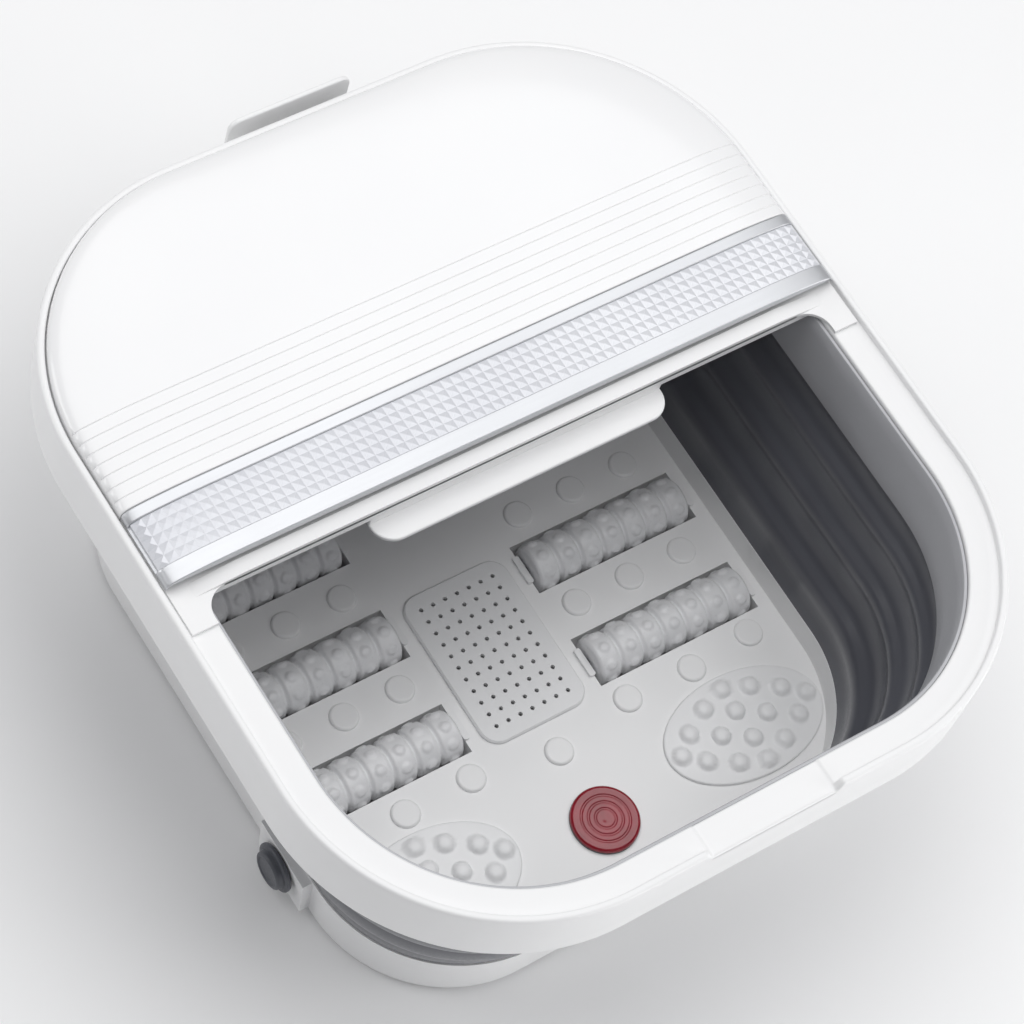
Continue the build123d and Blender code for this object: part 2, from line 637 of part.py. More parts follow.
def make_tongue():
    """Splash lip under the front frame."""
    half = TONGUE_HALF
    bottom = TONGUE_Z - 2.6
    wall = box(-half, half, FRAME_FRONT + 0.4, FRAME_REAR - 0.4, bottom, RIM_TOP - 8.1)
    lip = box(-half, half, TONGUE_TIP, FRAME_REAR - 0.4, bottom, TONGUE_Z)
    lip = fillet(lip.edges().filter_by(Axis.Z).group_by(Axis.Y)[0], 11.5)
    tongue = lip + wall
    tongue = tongue - box(2 - half, half - 2, FRAME_FRONT + 2.4, FRAME_REAR - 2.4, TONGUE_Z, RIM_TOP - 11)
    for x in TONGUE_SCREW_X:
        tongue = tongue - upright(x, (FRAME_FRONT + FRAME_REAR) / 2, 150, 200, 1.45)
    return tongue


def make_tongue_screws():
    y = (FRAME_FRONT + FRAME_REAR) / 2
    screws = []
    for x in TONGUE_SCREW_X:
        head = upright(x, y, TONGUE_Z - 4.0, TONGUE_Z - 2.6, 2.6)
        screws.append(upright(x, y, TONGUE_Z - 2.6, RIM_TOP - 2.0, 1.22) + head)
    return as_group(screws)


# ---- write every piece -------------------------------------------------------
save("rim", make_rim())
save("collar_ring", make_collar())
save("carry_lip", make_carry_lip())
save("lip_screws", make_lip_screws())
save("bellows", make_bellows())
save("base_shell", make_base_shell())
save("bottom_plate", make_bottom_plate())
save("feet", make_feet())
save("base_screws", make_base_screws())
for row, row_y in zip(("rear", "mid", "front"), ROLLER_Y):
    save(f"roller_left_{row}", make_roller(-ROLLER_X, row_y))
    save(f"roller_right_{row}", make_roller(ROLLER_X, row_y))
save("roller_axles", make_axles())
save("axle_clips", make_axle_clips())
save("bubble_cover", make_bubble_cover())
save("infrared_lens", make_lens())
save("lens_gasket", make_lens_gasket())
save("lamp_board", make_lamp_board())
save("heel_pad_left", make_heel_pad(-1))
save("heel_pad_right", make_heel_pad(1))
save("temp_probe", make_probe())
save("heater", make_heater())
save("heater_clamps", make_heater_clamps())
save("air_pump", make_air_pump())
save("air_tube", make_air_tube())
save("control_board", make_control_board())
save("cord_gland", make_cord_gland())
save("drain_plug", make_drain_plug())
save("cover_panel", make_cover_panel())
save("band_tray", make_band_tray())
save("gem_strip", make_gem_strip())
save("cover_frame", make_cover_frame())
save("cover_screws", make_cover_screws())
save("splash_tongue", make_tongue())
save("tongue_screws", make_tongue_screws())
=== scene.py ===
"""Looks for the collapsible foot bath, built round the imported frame.

Lengths below are millimetres about the middle of the rim, with the ground at
z = 0; pt() turns them into the scene's metres. Lights and camera are in metres.
"""
import bmesh
import bpy
import math
from mathutils import Matrix, Vector


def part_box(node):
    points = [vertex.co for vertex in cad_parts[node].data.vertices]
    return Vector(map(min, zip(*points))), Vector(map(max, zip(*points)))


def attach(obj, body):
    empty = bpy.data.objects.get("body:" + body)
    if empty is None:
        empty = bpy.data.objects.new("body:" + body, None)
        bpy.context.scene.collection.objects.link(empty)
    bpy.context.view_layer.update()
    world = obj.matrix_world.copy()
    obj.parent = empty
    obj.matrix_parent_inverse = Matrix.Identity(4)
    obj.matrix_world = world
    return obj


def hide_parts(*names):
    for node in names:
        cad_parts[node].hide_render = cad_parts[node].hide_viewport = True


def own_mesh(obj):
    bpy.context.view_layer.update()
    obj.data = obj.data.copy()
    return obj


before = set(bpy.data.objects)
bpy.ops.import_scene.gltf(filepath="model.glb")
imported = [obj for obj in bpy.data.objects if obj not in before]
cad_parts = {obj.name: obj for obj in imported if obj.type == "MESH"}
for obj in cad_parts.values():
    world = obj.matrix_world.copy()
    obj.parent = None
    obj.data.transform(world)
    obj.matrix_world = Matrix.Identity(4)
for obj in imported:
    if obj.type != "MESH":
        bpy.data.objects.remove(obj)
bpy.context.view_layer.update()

MM = 0.001
RIM_LO, RIM_HI = [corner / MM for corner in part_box("rim")]
MID_Y = (RIM_LO.y + RIM_HI.y) / 2
RIM_HX = (RIM_HI.x - RIM_LO.x) / 2
RIM_HY = (RIM_HI.y - RIM_LO.y) / 2
RIM_TOP = RIM_HI.z
RIM_R = 114.0
LIP_W = 3.8
LEDGE_DROP = 4.0
LEDGE = RIM_TOP - LEDGE_DROP
OPEN_HX, OPEN_HY, OPEN_R = 168.5, 187.8, 96.0


def pt(x, y, z):
    return (x * MM, (y + MID_Y) * MM, z * MM)


def reach(node):
    """A node's corners in millimetres about the middle of the rim."""
    low, high = [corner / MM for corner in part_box(node)]
    low.y -= MID_Y
    high.y -= MID_Y
    return low, high


# ---- materials ---------------------------------------------------------------
GRAIN_DEPTH = 0.1
TONE_DETAIL, GRAIN_DETAIL = 4.0, 2.0
TONE_SPAN = (0.32, 0.68)
GRAIN_SPAN = (0.3, 0.7)


def rgb(r, g, b):
    return (r, g, b, 1.0)


def add(tree, kind, **inputs):
    node = tree.nodes.new(kind)
    for key, value in inputs.items():
        node.inputs[key.replace("_", " ")].default_value = value
    return node


def noise_node(tree, coords, scale, detail, stretch):
    source = coords.outputs["Object"]
    if stretch:
        mapping = add(tree, "ShaderNodeMapping", Scale=stretch)
        tree.links.new(source, mapping.inputs["Vector"])
        source = mapping.outputs["Vector"]
    noise = add(tree, "ShaderNodeTexNoise", Scale=scale, Detail=detail)
    tree.links.new(source, noise.inputs["Vector"])
    return noise


def moulded(name, dark, light, rough=(0.22, 0.32), cloud=16.0, grain=700.0, bump=0.06,
            stretch=None, grain_stretch=None, **sockets):
    """Moulded surface: slow drift of tone, fine grain in roughness and relief."""
    mat = bpy.data.materials.new(name)
    mat.use_nodes = True
    tree = mat.node_tree
    bsdf = tree.nodes["Principled BSDF"]
    for key, value in sockets.items():
        bsdf.inputs[key.replace("_", " ")].default_value = value
    coords = tree.nodes.new("ShaderNodeTexCoord")
    tone = noise_node(tree, coords, cloud, TONE_DETAIL, stretch)
    ramp = tree.nodes.new("ShaderNodeValToRGB")
    for stop, place, tint in zip(ramp.color_ramp.elements, TONE_SPAN, (dark, light)):
        stop.position = place
        stop.color = tint
    tree.links.new(tone.outputs["Fac"], ramp.inputs["Fac"])
    tree.links.new(ramp.outputs["Color"], bsdf.inputs["Base Color"])
    fine = noise_node(tree, coords, grain, GRAIN_DETAIL, grain_stretch)
    spread = add(tree, "ShaderNodeMapRange", From_Min=GRAIN_SPAN[0], From_Max=GRAIN_SPAN[1],
                 To_Min=rough[0], To_Max=rough[1])
    tree.links.new(fine.outputs["Fac"], spread.inputs["Value"])
    tree.links.new(spread.outputs["Result"], bsdf.inputs["Roughness"])
    if bump:
        relief = add(tree, "ShaderNodeBump", Strength=bump, Distance=GRAIN_DEPTH * MM)
        tree.links.new(fine.outputs["Fac"], relief.inputs["Height"])
        tree.links.new(relief.outputs["Normal"], bsdf.inputs["Normal"])
    return mat


WHITE = moulded("white_gloss", rgb(0.855, 0.855, 0.858), rgb(0.875, 0.875, 0.875),
                (0.33, 0.38), cloud=7.0, grain=300.0, bump=0)
COVER = moulded("white_cover_gloss", rgb(0.87, 0.87, 0.875), rgb(0.9, 0.9, 0.9),
                (0.21, 0.25), cloud=6.0, grain=260.0, bump=0,
                Coat_Weight=0.3, Coat_Roughness=0.1)
BASE = moulded("white_base_satin", rgb(0.87, 0.87, 0.873), rgb(0.9, 0.9, 0.9),
               (0.32, 0.38), cloud=7.0, grain=300.0, bump=0)
COLLAR = moulded("collar_grey", rgb(0.45, 0.455, 0.475), rgb(0.50, 0.505, 0.525),
                 (0.34, 0.42), bump=0.08)
# Folding wall: its own grey TPE, darkened to near-black with painted shade of the undercut folds
# under the collar.
FOLD_PAINTED_SHADE = moulded("fold_grey_painted_shade", rgb(0.088, 0.091, 0.107), rgb(0.118, 0.122, 0.140),
               (0.28, 0.38), cloud=11.0, bump=0.1, stretch=(1, 1, 5),
               Coat_Weight=0.4, Coat_Roughness=0.2)
RUBBER = moulded("foot_rubber", rgb(0.03, 0.03, 0.032), rgb(0.05, 0.05, 0.052),
                 (0.62, 0.8), bump=0.25)
PAD = moulded("pad_white_satin", rgb(0.84, 0.845, 0.85), rgb(0.88, 0.88, 0.885),
              (0.28, 0.4), bump=0.05)
ROLLER = moulded("roller_white", rgb(0.82, 0.825, 0.835), rgb(0.88, 0.88, 0.89),
                 (0.26, 0.38), cloud=40.0, bump=0.06)
STEEL = moulded("ground_steel", rgb(0.5, 0.5, 0.51), rgb(0.62, 0.62, 0.63),
                (0.22, 0.36), cloud=60.0, grain_stretch=(0.15, 1, 1), Metallic=1.0)
ZINC = moulded("zinc_plate", rgb(0.55, 0.56, 0.58), rgb(0.68, 0.69, 0.7),
               (0.25, 0.42), cloud=90.0, grain=1600.0, Metallic=1.0)
SILVER = moulded("silver_trim", rgb(0.60, 0.61, 0.63), rgb(0.66, 0.67, 0.69),
                 (0.34, 0.4), cloud=8.0, grain=900.0, bump=0.03,
                 grain_stretch=(0.02, 1, 1), Metallic=0.6)
GEM = moulded("faceted_crystal", rgb(0.68, 0.69, 0.73), rgb(0.75, 0.76, 0.79),
              (0.28, 0.36), cloud=14.0, grain=90.0, bump=0,
              Metallic=0.15, Coat_Weight=0.35, Coat_Roughness=0.14)
RED = moulded("red_lens", rgb(0.30, 0.004, 0.016), rgb(0.42, 0.008, 0.028),
              (0.08, 0.16), cloud=70.0, grain=500.0, bump=0.03,
              Coat_Weight=0.6, Coat_Roughness=0.04, Transmission_Weight=0.25)
SEAL = moulded("seal_rubber", rgb(0.08, 0.08, 0.085), rgb(0.12, 0.12, 0.125),
               (0.5, 0.65), bump=0.2)
BOARD = moulded("circuit_board", rgb(0.01, 0.11, 0.04), rgb(0.02, 0.17, 0.06),
                (0.3, 0.45), cloud=200.0, grain=1500.0)
BLACK = moulded("pump_black", rgb(0.02, 0.02, 0.022), rgb(0.045, 0.045, 0.048),
                (0.4, 0.55), bump=0.2)
SHEATH = moulded("heater_sheath", rgb(0.4, 0.38, 0.36), rgb(0.58, 0.55, 0.52),
                 (0.28, 0.45), cloud=50.0, Metallic=1.0)
TUBE = moulded("clear_tube", rgb(0.72, 0.74, 0.74), rgb(0.82, 0.84, 0.84),
               (0.15, 0.25), cloud=60.0, Transmission_Weight=0.5)
SLATE = moulded("plug_slate", rgb(0.075, 0.08, 0.095), rgb(0.11, 0.115, 0.13),
                (0.36, 0.5), cloud=60.0, grain=1100.0, bump=0.15)

CAD_LOOKS = {
    "base_shell": BASE,
    "bottom_plate": PAD,
    "feet": RUBBER,
    "base_screws": ZINC,
    "roller_axles": STEEL,
    "axle_clips": PAD,
    "bubble_cover": PAD,
    "lens_gasket": SEAL,
    "lamp_board": BOARD,
    "temp_probe": STEEL,
    "heater": SHEATH,
    "heater_clamps": BLACK,
    "air_pump": BLACK,
    "air_tube": TUBE,
    "control_board": BOARD,
    "cord_gland": RUBBER,
    "lip_screws": ZINC,
    "cover_screws": ZINC,
    "tongue_screws": ZINC,
}
for node_name, look in CAD_LOOKS.items():
    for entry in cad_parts[node_name].material_slots:
        entry.material = look


# ---- mesh helpers --------------------------------------------------------------
BEVEL_STEPS = 3
BEVEL_ANGLE = math.radians(40.0)
CORNER_STEPS = 10
# Shares along a straight side of a loop, and steps in each of its corners.
EVEN = [k / 20 for k in range(1, 20)]
FINE_ARC, PLAIN_ARC = 36, 30


def piece(name, points, faces, look, body, nodes, sharp):
    """One object from millimetre points, riding on its body in place of its nodes.

    Edges sharper than `sharp` degrees stay hard; 0 leaves every face flat.
    """
    mesh = bpy.data.meshes.new(name)
    mesh.from_pydata([pt(*p) for p in points], [], faces)
    cleaned = bmesh.new()
    cleaned.from_mesh(mesh)
    bmesh.ops.remove_doubles(cleaned, verts=cleaned.verts, dist=1e-6)
    bmesh.ops.recalc_face_normals(cleaned, faces=cleaned.faces)
    cleaned.to_mesh(mesh)
    cleaned.free()
    mesh.validate()
    mesh.materials.append(look)
    for face in mesh.polygons:
        face.use_smooth = sharp > 0
    if sharp > 0:
        mesh.set_sharp_from_angle(angle=math.radians(sharp))
    obj = bpy.data.objects.new(name, mesh)
    bpy.context.collection.objects.link(obj)
    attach(obj, body)
    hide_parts(*nodes)
    return obj


def cushion_edges(obj, width):
    """Rounds an object's hard edges with a bevel modifier."""
    mod = obj.modifiers.new("edges", "BEVEL")
    mod.width = width * MM
    mod.segments = BEVEL_STEPS
    mod.limit_method = "ANGLE"
    mod.angle_limit = BEVEL_ANGLE
    mod.harden_normals = False


def smooth_line(rows):
    """Cuts the corners of an open line of tuples twice, keeping its ends."""
    for _ in range(2):
        out = [rows[0]]
        for a, b in zip(rows, rows[1:]):
            out.append(tuple(p * 0.75 + q * 0.25 for p, q in zip(a, b)))
            out.append(tuple(p * 0.25 + q * 0.75 for p, q in zip(a, b)))
        out.append(rows[-1])
        rows = out
    return rows


def loop(hx, hy, r, z, arc, front=EVEN):
    """Points round a rounded rectangle, anticlockwise from +X.

    z is a number or a function of x and y; front says how the front side is cut.
    """
    arcs = []
    for quarter, (sx, sy) in enumerate([(1, 1), (-1, 1), (-1, -1), (1, -1)]):
        run = []
        for k in range(arc + 1):
            a = math.radians(90 * quarter + 90 * k / arc)
            run.append((sx * (hx - r) + r * math.cos(a), sy * (hy - r) + r * math.sin(a)))
        arcs.append(run)
    points = []
    for quarter, run in enumerate(arcs):
        points += run
        x0, y0 = run[-1]
        x1, y1 = arcs[(quarter + 1) % 4][0]
        for t in front if quarter == 2 else EVEN:
            points.append((x0 + (x1 - x0) * t, y0 + (y1 - y0) * t))
    return [(x, y, z(x, y) if callable(z) else z) for x, y in points]


def join_loops(loops):
    """Quads between successive loops of the same count, the last joined to the first."""
    count = len(loops[0])
    points = [p for ring in loops for p in ring]
    faces = []
    for i in range(len(loops)):
        a, b = i * count, ((i + 1) % len(loops)) * count
        for j in range(count):
            k = (j + 1) % count
            faces.append((a + j, a + k, b + k, b + j))
    return points, faces


def spin(profile, count, centre, sideways=False):
    """Lathe of (radius, height) about z, or about -x if sideways.

    Where the profile ends on the axis, the end is closed.
    """
    points, faces, rings = [], [], []
    for radius, height in profile:
        if radius < 1e-6:
            rings.append([len(points)])
            points.append((0, 0, height))
            continue
        ring = []
        for k in range(count):
            a = 2 * math.pi * k / count
            ring.append(len(points))
            points.append((radius * math.cos(a), radius * math.sin(a), height))
        rings.append(ring)
    for a, b in zip(rings, rings[1:]):
        if len(a) == 1 and len(b) == 1:
            continue
        for k in range(count):
            n = (k + 1) % count
            if len(a) == 1:
                faces.append((a[0], b[k], b[n]))
            elif len(b) == 1:
                faces.append((a[k], a[n], b[0]))
            else:
                faces.append((a[k], a[n], b[n], b[k]))
    if sideways:
        points = [(-z, -x, y) for x, y, z in points]
    cx, cy, cz = centre
    return [(x + cx, y + cy, z + cz) for x, y, z in points], faces


def prism(outline, low, high, axis="z"):
    """Straight prism on an outline, along z or y."""
    n = len(outline)
    if axis == "z":
        points = [(x, y, level) for level in (low, high) for x, y in outline]
    else:
        points = [(x, level, z) for level in (low, high) for x, z in outline]
    faces = [(i, (i + 1) % n, n + (i + 1) % n, n + i) for i in range(n)]
    faces.append(tuple(reversed(range(n))))
    faces.append(tuple(range(n, 2 * n)))
    return points, faces


def block(x0, x1, y0, y1, z0, z1):
    return prism([(x0, y0), (x1, y0), (x1, y1), (x0, y1)], z0, z1)


def merge(*parts):
    points, faces = [], []
    for more, quads in parts:
        base = len(points)
        points += more
        faces += [tuple(base + i for i in face) for face in quads]
    return points, faces


def corner(cx, cy, r, start):
    """Points of a quarter turn from an angle in degrees, for outlines."""
    angles = [math.radians(start + 90 * k / CORNER_STEPS) for k in range(CORNER_STEPS + 1)]
    return [(cx + r * math.cos(a), cy + r * math.sin(a)) for a in angles]


def ease(t):
    """Smooth step of t from 0 to 1."""
    t = min(max(t, 0.0), 1.0)
    return t * t * (3 - 2 * t)


# ---- rim -------------------------------------------------------------------------
NOTCH_IN, NOTCH_OUT = 33.5, 37.5
DIP_END, DIP_RAMP, DIP_DEPTH = 35.2, 2.2, 0.9
LIP_CREST = 1.7
LIP_FOOT = 5.5
LEDGE_UNDER = -6.0
FRONT_MARKS = [60, 48, 42, 39, 37.5, 36.8, 36, 35.2, 34.6, 34.1, 33.5, 33, 32, 26, 18, 9]
# Inset from the rim's outline, and height over its top: up the outside of the
# skirt, over the lip, across the ledge, down at the opening, and back underneath
# to the inside of the skirt.
RIM_SECTION = [
    (1.2, -36.0), (0.4, -35.9), (0.0, -35.4), (0.0, -30.0), (0.0, -20.0), (0.0, -10.0),
    (0.0, -6.4), (0.0, -1.8), (0.18, -1.05), (0.5, -0.5), (1.0, -0.14), (1.7, 0.0),
    (2.6, 0.0), (3.15, -0.1), (3.55, -0.4), (3.75, -0.9), (3.8, -2.8), (3.95, -3.5),
    (4.35, -3.75), (4.9, -3.8), (5.3, -3.9), (5.6, -4.0), (9.0, -4.0), (14.0, -4.0),
    (17.3, -4.0), (17.9, -4.1), (18.4, -4.45), (18.65, -4.95), (18.7, -5.6), (18.7, -6.4),
    (18.5, -6.5), (18.5, -15.2), (16.9, -15.4), (16.7, -15.2), (16.7, -6.6), (16.0, -6.4),
    (3.8, -6.4), (3.0, -7.4), (3.0, -35.8), (2.6, -36.0),
]


def inset_loop(i, z, front):
    """Loop drawn in from the rim's outline, easing from the lip to the opening."""
    if i <= LIP_W:
        return loop(RIM_HX - i, RIM_HY - i, RIM_R - i, z, FINE_ARC, front)
    t = (i - LIP_W) / (RIM_HX - OPEN_HX - LIP_W)
    hx = RIM_HX - LIP_W + t * (OPEN_HX - RIM_HX + LIP_W)
    hy = RIM_HY - LIP_W + t * (OPEN_HY - RIM_HY + LIP_W)
    r = RIM_R - LIP_W + t * (OPEN_R - RIM_R + LIP_W)
    return loop(hx, hy, r, z, FINE_ARC, front)


def notch_share(x, y):
    """0 inside the front notch, 1 outside it."""
    if y > 0:
        return 1.0
    return ease((abs(x) - NOTCH_IN) / (NOTCH_OUT - NOTCH_IN))


def ledge_dip(x, y):
    """How far the ledge drops between the ends of the front notch."""
    if y > 0:
        return 0.0
    return DIP_DEPTH * ease((DIP_END - abs(x)) / DIP_RAMP)


def rim_height(i, drop):
    """Height of one line of the rim's section, lowered where the notch is cut."""
    def lip(x, y):
        return RIM_TOP + drop - LEDGE_DROP * (1 - notch_share(x, y)) - ledge_dip(x, y)

    def lip_foot(x, y):
        return LEDGE + (drop + LEDGE_DROP) * notch_share(x, y) - ledge_dip(x, y)

    def ledge(x, y):
        return RIM_TOP + drop - ledge_dip(x, y)

    if drop <= LEDGE_UNDER:
        return RIM_TOP + drop
    if i <= LIP_CREST:
        return lip
    if i < LIP_FOOT and drop > -LEDGE_DROP:
        return lip_foot
    return ledge


def build_rim():
    straight = 2 * (RIM_HX - RIM_R)
    marks = [-m for m in FRONT_MARKS] + [0] + FRONT_MARKS[::-1]
    front = [0.5 + m / straight for m in marks]
    loops = [inset_loop(i, rim_height(i, drop), front) for i, drop in RIM_SECTION]
    points, faces = join_loops(loops)
    piece("rim_shell", points, faces, WHITE, "upper_rim", ["rim"], sharp=34)


def build_collar():
    low, high = reach("collar_ring")
    bottom, top = low.z, high.z
    section = [(0.25, top), (0.0, top - 0.5), (0.0, bottom + 1.0), (0.3, bottom + 0.3),
               (1.2, bottom), (2.2, bottom), (3.0, bottom + 0.3), (3.35, bottom + 1.2),
               (3.0, bottom + 12), (2.5, top - 10), (2.1, top - 1.2), (1.6, top - 0.2),
               (0.9, top)]
    loops = [loop(OPEN_HX - i, OPEN_HY - i, OPEN_R - i, z, FINE_ARC) for i, z in section]
    points, faces = join_loops(loops)
    piece("inner_collar", points, faces, COLLAR, "upper_rim", ["collar_ring"],
          sharp=40)


# ---- folding wall ------------------------------------------------------------------
def build_fold_wall():
    """Bellows of four bands, riding on the base with a mesh of its own."""
    low, high = reach("bellows")
    wall = 2.0
    # Height, inset in x and in y from the rim's outline, corner radius.
    lines = [(low.z, 42.0, 37.0, 74.0), (49, 39.5, 34.5, 75.0), (61, 40.5, 35.5, 75.0),
             (68, 31.5, 27.5, 80.0), (81, 30.0, 26.0, 81.0), (89, 31.5, 27.5, 81.0),
             (96, 24.0, 21.0, 86.0), (108, 22.5, 19.5, 87.0), (115, 24.0, 21.0, 87.0),
             (122, 17.5, 15.5, 94.0), (131, 16.5, 14.8, 95.0), (high.z, 18.9, 17.4, 94.5)]
    lines = smooth_line(lines)
    outer = [loop(RIM_HX - ix, RIM_HY - iy, r, z, PLAIN_ARC) for z, ix, iy, r in lines]
    inner = [loop(RIM_HX - ix - wall, RIM_HY - iy - wall, r - wall, z, PLAIN_ARC)
             for z, ix, iy, r in reversed(lines)]
    points, faces = join_loops(outer + inner)
    # The wall's colour is grey TPE with painted shade of its folds.
    wall_obj = piece("fold_wall", points, faces, FOLD_PAINTED_SHADE, "base", ["bellows"],
                     sharp=60)
    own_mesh(wall_obj)


# ---- half cover ----------------------------------------------------------------------
PANEL_LO, PANEL_HI = reach("cover_panel")
CROWN_HX = PANEL_HI.x
CROWN_HY = PANEL_HI.y
CROWN_R = RIM_R - LIP_W - (RIM_HX - LIP_W - CROWN_HX)
# Distance in from the cover's outline, and height of the cover over the lip.
CROWN = [(0.0, 0.0), (0.12, 0.9), (0.35, 1.75), (0.8, 2.6), (1.6, 3.35), (3.2, 4.15),
         (5.4, 4.75), (8.0, 5.2), (12.0, 5.7), (16.0, 6.08), (21.0, 6.48), (26.0, 6.8),
         (33.0, 7.05), (40.0, 7.18), (48.0, 7.2)]
EDGE_STEPS = [inset for inset, _ in CROWN]
MIDDLE_STEPS = 10
GROOVE_FIRST, GROOVE_PITCH, GROOVE_COUNT = 59.3, 6.35, 7
GROOVES = [GROOVE_FIRST + GROOVE_PITCH * k for k in range(GROOVE_COUNT)]
# Distance across a groove from its middle, and depth.
GROOVE_CUT = [(-0.32, 0.0), (-0.22, 0.16), (-0.12, 0.42), (0.0, 0.5), (0.12, 0.42),
              (0.22, 0.16), (0.32, 0.0)]
GROOVE_FADE = 0.8
BAR_REAR, BAR_FRONT = 12.3, 5.0


def crown(inset):
    """Height of the cover over the lip at a distance in from its outline."""
    if inset <= 0:
        return 0.0
    for (i0, h0), (i1, h1) in zip(CROWN, CROWN[1:]):
        if inset <= i1:
            return h0 + (h1 - h0) * (inset - i0) / (i1 - i0)
    return CROWN[-1][1]


def crown_inset(x, y):
    """Distance in from the cover's rounded outline."""
    qx = abs(x) - (CROWN_HX - CROWN_R)
    qy = y - (CROWN_HY - CROWN_R)
    outside = math.hypot(max(qx, 0.0), max(qy, 0.0)) + min(max(qx, qy), 0.0)
    return CROWN_R - outside


def crown_half(y):
    """Half width of the cover at a y."""
    over = y - (CROWN_HY - CROWN_R)
    if over <= 0:
        return CROWN_HX
    return CROWN_HX - CROWN_R + math.sqrt(max(CROWN_R ** 2 - over ** 2, 0.0))


def crown_columns():
    """Shares of the half width, close together where the cover rolls down."""
    side = [CROWN_HX - i for i in EDGE_STEPS]
    middle = [side[-1] * (1 - k / MIDDLE_STEPS) for k in range(1, MIDDLE_STEPS)]
    half = side + middle
    return [-x / CROWN_HX for x in half] + [0.0] + [x / CROWN_HX for x in reversed(half)]


def shell_of_rows(rows, top, bottom):
    """Closed slab between two height functions, over rows of y as wide as the cover."""
    columns = crown_columns()
    count = len(columns)
    points = []
    for height in (top, bottom):
        for y in rows:
            half = crown_half(y)
            points += [(half * u, y, height(half * u, y)) for u in columns]
    size = len(rows) * count
    faces = []
    for i in range(len(rows) - 1):
        for j in range(count - 1):
            a = i * count + j
            faces.append((a, a + 1, a + 1 + count, a + count))
            faces.append((size + a, size + a + count, size + a + 1 + count, size + a + 1))
    last = (len(rows) - 1) * count
    for j in range(count - 1):
        faces.append((j, size + j, size + j + 1, j + 1))
        faces.append((last + j, last + j + 1, size + last + j + 1, size + last + j))
    for i in range(len(rows) - 1):
        a = i * count
        faces.append((a, a + count, size + a + count, size + a))
        b = a + count - 1
        faces.append((b, size + b, size + b + count, b + count))
    return points, faces


def groove_depth(y):
    for g in GROOVES:
        for (d0, c0), (d1, c1) in zip(GROOVE_CUT, GROOVE_CUT[1:]):
            if d0 - 1e-6 <= y - g <= d1 + 1e-6:
                return c0 + (c1 - c0) * (y - g - d0) / (d1 - d0)
    return 0.0


def build_cover_dome():
    front = PANEL_LO.y
    round_width, round_depth = 0.4, 0.45
    skin, under_drop, under_inset = 2.9, 3.2, 2.4
    plain_start, plain_end, row_gap = GROOVES[-1] + 3, CROWN_HY - 50, 5.0
    rows = [front, front + 0.15, front + round_width, front + 1.0]
    rows += [g + d for g in GROOVES for d, _ in GROOVE_CUT]
    rows += [(g + h) / 2 for g, h in zip(GROOVES, GROOVES[1:])]
    y = plain_start
    while y < plain_end:
        rows.append(y)
        y += row_gap
    rows += [CROWN_HY - i for i in EDGE_STEPS]
    rows = sorted(rows)

    def top(x, y):
        inset = crown_inset(x, y)
        cut = groove_depth(y) * min(1.0, inset / GROOVE_FADE)
        front_round = round_depth * max(0.0, 1 - (y - front) / round_width) ** 2
        return RIM_TOP + crown(inset) - cut - front_round

    def bottom(x, y):
        return max(RIM_TOP - under_drop, RIM_TOP + crown(crown_inset(x, y) - under_inset) - skin)

    points, faces = shell_of_rows(rows, top, bottom)
    piece("cover_dome", points, faces, COVER, "half_cover", ["cover_panel"],
          sharp=50)


def build_band_tray():
    """Silver tray: a strip before and behind the faceted band, and a floor under it."""
    low, high = reach("band_tray")
    gem_low, gem_high = reach("gem_strip")
    floor_z, floor_thick, skin = RIM_TOP + 3.4, 1.0, 0.6
    edge, edge_drop = 0.35, 0.28
    slot_depth = 3.2
    gap = 0.1
    rows = [low.y, low.y + edge, low.y + 1.5, gem_low.y - 1.4, gem_low.y - 0.5,
            gem_low.y - gap, gem_low.y - gap / 2, gem_high.y + gap / 2, gem_high.y + gap,
            gem_high.y + 0.5, high.y - 1.2, high.y - edge, high.y]

    def top(x, y):
        z = RIM_TOP + crown(crown_inset(x, y))
        if gem_low.y - 0.7 * gap < y < gem_high.y + 0.7 * gap:
            return max(RIM_TOP - 0.2, z - slot_depth)
        near = min(y - low.y, high.y - y, abs(y - gem_low.y + gap), abs(y - gem_high.y - gap))
        return z - edge_drop * max(0.0, 1 - near / edge) ** 2

    def bottom(x, y):
        return max(RIM_TOP - 1.0, min(top(x, y) - skin, floor_z - floor_thick))

    points, faces = shell_of_rows(rows, top, bottom)
    piece("band_tray_trim", points, faces, SILVER, "half_cover", ["band_tray"],
          sharp=30)


